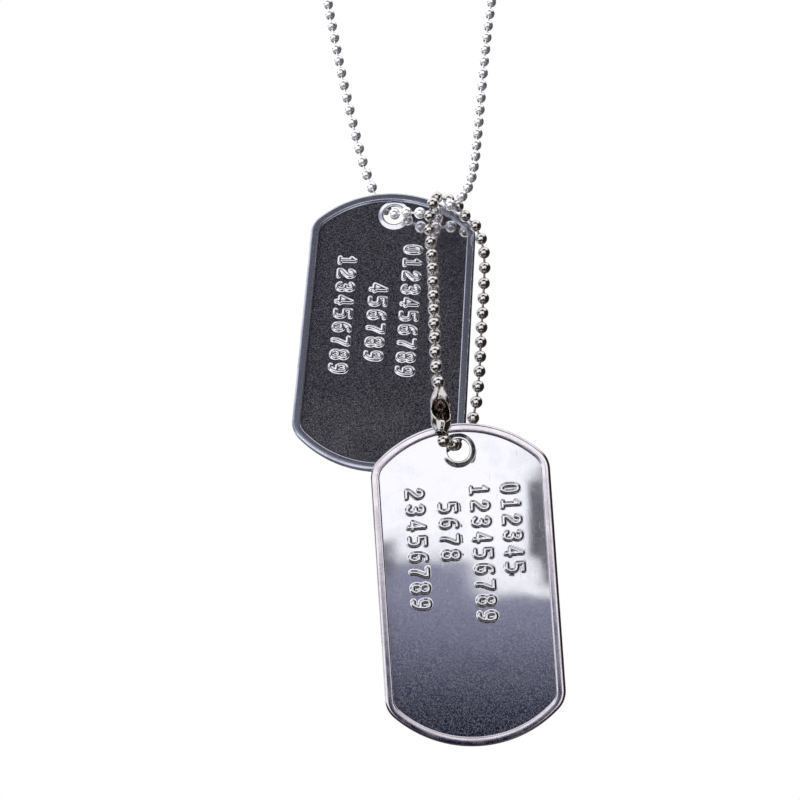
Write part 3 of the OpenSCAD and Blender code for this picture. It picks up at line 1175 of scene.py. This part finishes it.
@dataclass
class ShortChain(ChainLoop):
    """The small loop that hangs the lower tag from the neck chain."""

    def build(self) -> None:
        """Make and dress the beads, the links and the connector."""
        route = Route(SHORT_CORNERS)
        hold = self.connector.hold(self.chain)
        span = route.length - self.connector.length + 2 * hold
        gaps = round(span / self.chain.bead_step)
        first = self.connector.length - hold
        middles = [route.at(first + i * span / gaps) for i in range(gaps + 1)]
        inwards = middles[0] - middles[-1]
        beads = self.chain.bead_shape(middles, middles[0] - inwards, middles[-1] + inwards, FINE_BEAD)
        self.dress_beads("short_beads", "short_chain_beads", beads)
        self.dress_links("short_links", "short_chain_links", list(zip(middles, middles[1:])))
        self.dress_connector("short_connector", "short_chain_connector", route.at(0.0),
                             route.at(self.connector.length))


@dataclass
class NeckChain(ChainLoop):
    """The long loop round the neck, with the upper tag threaded on it."""

    front_corner: int = 18
    hole_corner: int = 7
    connector_share: float = 0.62
    plain_gap: float = 0.15

    def build(self) -> None:
        """Make and dress the front stretch, the connector and the stretch round the neck."""
        route = Route(NECK_CORNERS)
        first, last = self.build_front(route)
        clear = self.chain.bead_d / 2 + self.plain_gap
        start = last + clear
        end = first + route.length - clear
        middle = start + self.connector_share * (end - start)
        half = self.connector.length / 2
        self.dress_connector("neck_connector", "neck_chain_connector", route.at(middle - half),
                             route.at(middle + half))
        self.build_back(route, last, middle, first + route.length)

    def build_front(self, route: Route) -> tuple[float, float]:
        """Make and dress the front stretch, with one of its beads in the upper tag's hole.

        Args:
            route: The chain's route.

        Returns:
            The ways of its first and last beads.
        """
        step = route.length / round(route.length / self.chain.bead_step)
        first = route.way_of(self.hole_corner) % step
        count = math.ceil((route.way_of(self.front_corner) - first) / step) + 1
        last = first + (count - 1) * step
        middles = [route.at(first + i * step) for i in range(count)]
        beads = self.chain.bead_shape(middles, route.at(first - step), route.at(last + step), FINE_BEAD)
        self.dress_beads("neck_beads", "neck_chain_beads", beads)
        self.dress_links("neck_links", "neck_chain_links", list(zip(middles, middles[1:])))
        return first, last

    def build_back(self, route: Route, start: float, middle: float, end: float) -> None:
        """Make and dress the stretch round the neck, on both sides of the connector.

        Args:
            route: The chain's route.
            start: The way of the front stretch's last bead.
            middle: The way of the connector's middle.
            end: The way of the front stretch's first bead, a whole turn on.
        """
        held = self.connector.length / 2 - self.connector.hold(self.chain)
        outside = held + self.chain.bead_step
        lower = [route.at(way) for way in self.stretch(start, middle - outside) + [middle - held]]
        upper = [route.at(way) for way in [middle + held] + self.stretch(middle + outside, end)]
        beads = self.chain.bead_shape(lower[1:] + upper[:-1], lower[0], upper[-1], PLAIN_BEAD)
        self.dress_beads("back_beads", "neck_chain_back", beads)
        self.dress_links("back_links", "neck_chain_back",
                         list(zip(lower, lower[1:])) + list(zip(upper, upper[1:])))

    def stretch(self, start: float, end: float) -> list[float]:
        """Share a stretch evenly among beads, with one at each of its ends."""
        gaps = round((end - start) / self.chain.bead_step)
        return [start + (end - start) * i / gaps for i in range(gaps + 1)]


@dataclass(frozen=True)
class Card:
    """A soft-edged card in the studio that the metal mirrors.

    Azimuth 0 is the camera's side and grows to its right; angles are in degrees. The softness is
    that of the sides, the foot and the top. A card with a foot colour fades to it downwards.
    """

    azimuth: Span
    elevation: Span
    soft: Point
    colour: Colour
    foot_colour: Colour | None = None
    fade: Span = (-9.6, -2.8)


@dataclass
class Studio:
    """A plain pale studio: soft light all round, cards for the metal to mirror, floor and camera."""

    camera_place: Point = (0.0045, -0.399, -0.281)
    lens: float = 59.27
    nearest_seen: float = 0.01
    floor_z: float = -1.2
    floor_r: float = 2.6
    floor_sides: int = 96
    floor_colour: Colour = (0.9, 0.9, 0.9)
    floor_rough: float = 0.8
    side_light: float = 11.0
    side_turn: Point = (82, 0, -62)
    side_spread: float = 50.0
    low_colour: Colour = (0.10, 0.096, 0.10)
    high_colour: Colour = (1.11, 1.11, 1.15)
    low_to_high: Span = (-60, -20)
    cards: list[Card] = field(default_factory=lambda: [
        Card((98, 200), (-100, 34), (8, 8, 10), (0.05, 0.046, 0.042)),
        Card((-200, -104), (-100, -22), (8, 8, 10), (0.08, 0.077, 0.077)),
        Card((17, 60), (-70, 62), (4, 10, 10), (0.44, 0.40, 0.43)),
        Card((-68, -20), (27, 60), (7, 7, 8), (0.36, 0.38, 0.48)),
        Card((31, 116), (-60, 40), (9, 12, 10), (0.020, 0.018, 0.016)),
        Card((-112, -56), (-10, 22), (9, 8, 8), (0.035, 0.033, 0.032)),
        Card((-116, 34), (-70, -19), (10, 8, 5), (0.045, 0.038, 0.034)),
        Card((-13, 6), (-40, -3.6), (0.7, 8, 0.15), (0.22, 0.225, 0.32), (0.002, 0.004, 0.026)),
        Card((-13, -2.7), (-40, -2.1), (0.7, 8, 0.18), (0.22, 0.225, 0.32), (0.002, 0.004, 0.026)),
        Card((-7.4, -6.15), (-2.9, -1.35), (0.08, 0.1, 0.1), (0.12, 0.12, 0.17)),
        Card((-0.4, 3), (-2.1, 1.4), (0.1, 0.2, 0.08), (0.015, 0.015, 0.040)),
        Card((0.1, 3), (-3.2, 2.9), (0.1, 0.3, 0.3), (0.10, 0.10, 0.14)),
        Card((-35, 24), (33, 74), (5, 5, 6), (0.018, 0.017, 0.026)),
    ])

    def mirror(self, wiring: Wiring) -> bpy.types.NodeSocket:
        """Give the colour that the studio shows in each direction.

        Args:
            wiring: The world's wiring.

        Returns:
            The colour.
        """
        ahead = wiring.node("ShaderNodeTexCoord").outputs["Generated"]
        parts = wiring.node("ShaderNodeSeparateXYZ", {0: ahead}).outputs
        degrees = math.degrees(1.0)
        back = wiring.reckon("MULTIPLY", parts[1], -1.0)
        azimuth = wiring.reckon("MULTIPLY", wiring.reckon("ARCTAN2", parts[0], back), degrees)
        elevation = wiring.reckon("MULTIPLY", wiring.reckon("ARCSINE", parts[2]), degrees)
        colour = wiring.mix(wiring.spread(elevation, self.low_to_high), self.low_colour, self.high_colour)
        for card in self.cards:
            sides, foot, top = card.soft
            edges = [(azimuth, card.azimuth[0], sides), (azimuth, card.azimuth[1], -sides),
                     (elevation, card.elevation[0], foot), (elevation, card.elevation[1], -top)]
            share: object = 1.0
            for value, edge, soft in edges:
                share = wiring.reckon("MULTIPLY", share, wiring.spread(value, (edge - soft, edge + soft)))
            painted: object = card.colour
            if card.foot_colour is not None:
                painted = wiring.mix(wiring.spread(elevation, card.fade), card.foot_colour, card.colour)
            colour = wiring.mix(share, colour, painted)
        return colour

    def light(self) -> None:
        """Light the scene with the studio's cards, and leave the background plain white."""
        world = bpy.data.worlds.new("studio")
        world.use_nodes = True
        bpy.context.scene.world = world
        wiring = Wiring(world.node_tree)
        seen = wiring.node("ShaderNodeLightPath").outputs["Is Camera Ray"]
        colour = wiring.mix(seen, self.mirror(wiring), WHITE)
        shader = wiring.node("ShaderNodeBackground", {"Color": colour, "Strength": 1.0})
        wiring.node("ShaderNodeOutputWorld", {0: shader.outputs[0]})
        bpy.context.scene.view_settings.view_transform = "Standard"

    def lay_floor(self) -> None:
        """Lay a plain pale floor well under the tags."""
        shape = bmesh.new()
        bmesh.ops.create_circle(shape, cap_ends=True, segments=self.floor_sides, radius=self.floor_r,
                                matrix=Matrix.Translation((0, 0, self.floor_z)))
        mesh = stored(shape, "floor")
        material, wiring = new_material("pale floor", self.floor_colour)
        shader = wiring.node("ShaderNodeBsdfPrincipled",
                             {"Base Color": self.floor_colour, "Roughness": self.floor_rough})
        wiring.node("ShaderNodeOutputMaterial", {0: shader.outputs[0]})
        mesh.materials.append(material)
        floor = placed("floor", mesh)
        floor.visible_glossy = False

    def light_side(self) -> None:
        """Hang a broad soft light on the left that only the surfaces' non-metal share shows, such as the neck
        chain's finish lightened as painted glare.
        """
        data = bpy.data.lights.new("side light", "SUN")
        data.energy = self.side_light
        data.angle = math.radians(self.side_spread)
        lamp = placed("side light", data)
        lamp.rotation_euler = [math.radians(angle) for angle in self.side_turn]
        lamp.visible_glossy = False

    def set_camera(self) -> None:
        """Stand the camera level in front of the tags."""
        data = bpy.data.cameras.new("camera")
        data.lens = self.lens
        data.clip_start = self.nearest_seen
        camera = placed("camera", data)
        camera.location = self.camera_place
        camera.rotation_euler = (math.radians(90), 0, 0)
        bpy.context.scene.camera = camera

    def build(self) -> None:
        """Set up camera, light and floor."""
        self.set_camera()
        self.light()
        self.light_side()
        self.lay_floor()


def chain_finishes() -> tuple[ChainFinishes, ChainFinishes]:
    """Mix the finishes of both chains, whose connectors look alike.

    Returns:
        The short chain's materials and the neck chain's.
    """
    sleeve = BrightPlate("bright plated sleeve", colour=(0.64, 0.62, 0.605), grime_from=0.52).material()
    # The lining's dark colour is partly dirt and partly painted shade inside the hollow sleeve.
    lining = BrightPlate("dull, dirty sleeve lining with painted shade", colour=(0.36, 0.29, 0.26), grime_colour=(0.06, 0.035, 0.03),
                         grime_from=0.52, smooth=0.09, rough=0.24).material()
    beads = BrightPlate("bright plated beads").material()
    wire = DrawnWire("dark link wire").material()
    # The neck chain's beads and links are a lighter copy of the short chain's finishes: painted glare from
    # the bright backdrop, lit by the side light.
    glare_lightened_beads = BrightPlate("plated beads lightened as painted glare", colour=(0.97, 0.97, 0.985), grime_colour=(0.6, 0.6, 0.62),
                              grime_from=0.66, smooth=0.08, rough=0.16, bare=0.87).material()
    glare_lightened_wire = DrawnWire("link wire lightened as painted glare", colour=(0.86, 0.85, 0.93), grime_colour=(0.6, 0.58, 0.66),
                           bare=0.75).material()
    return ChainFinishes(beads, wire, sleeve, lining), ChainFinishes(glare_lightened_beads, glare_lightened_wire, sleeve, lining)


def main() -> None:
    """Build every piece in order."""
    logging.basicConfig(level=logging.INFO, format="%(message)s")
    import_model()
    Studio().build()

    bright_sheet = PolishedSheet().material()
    hazy_sheet = PolishedSheet("hazy stainless sheet", smooth=0.07, hazy=0.12, grain_bare=0.963).material()
    rim_steel = SatinRoll().material()
    # The rear tag's rim takes a darker, bluer copy of the rim finish.
    rear_rim_steel = SatinRoll("darker bluer rolled rim", colour=(0.56, 0.58, 0.69), dull_colour=(0.40, 0.42, 0.52),
                         smooth=0.13, rough=0.22, bare=0.94).material()
    short_finishes, neck_finishes = chain_finishes()

    rear = Tag("rear", "tag_rear", Body.REAR, hole=(3.5, -169.7, -248.94), lean=20.5, tilt=2.7,
               rows=REAR_ROWS)
    front = Tag("front", "tag_front", Body.FRONT, hole=(13.8, -189.25, -289.0), lean=2.4, tilt=-3.9,
                rows=FRONT_ROWS)
    rear.build(hazy_sheet, rear_rim_steel)
    front.build(bright_sheet, rim_steel)
    ShortChain(short_finishes).build()
    NeckChain(neck_finishes).build()


if __name__ == "__main__":
    main()
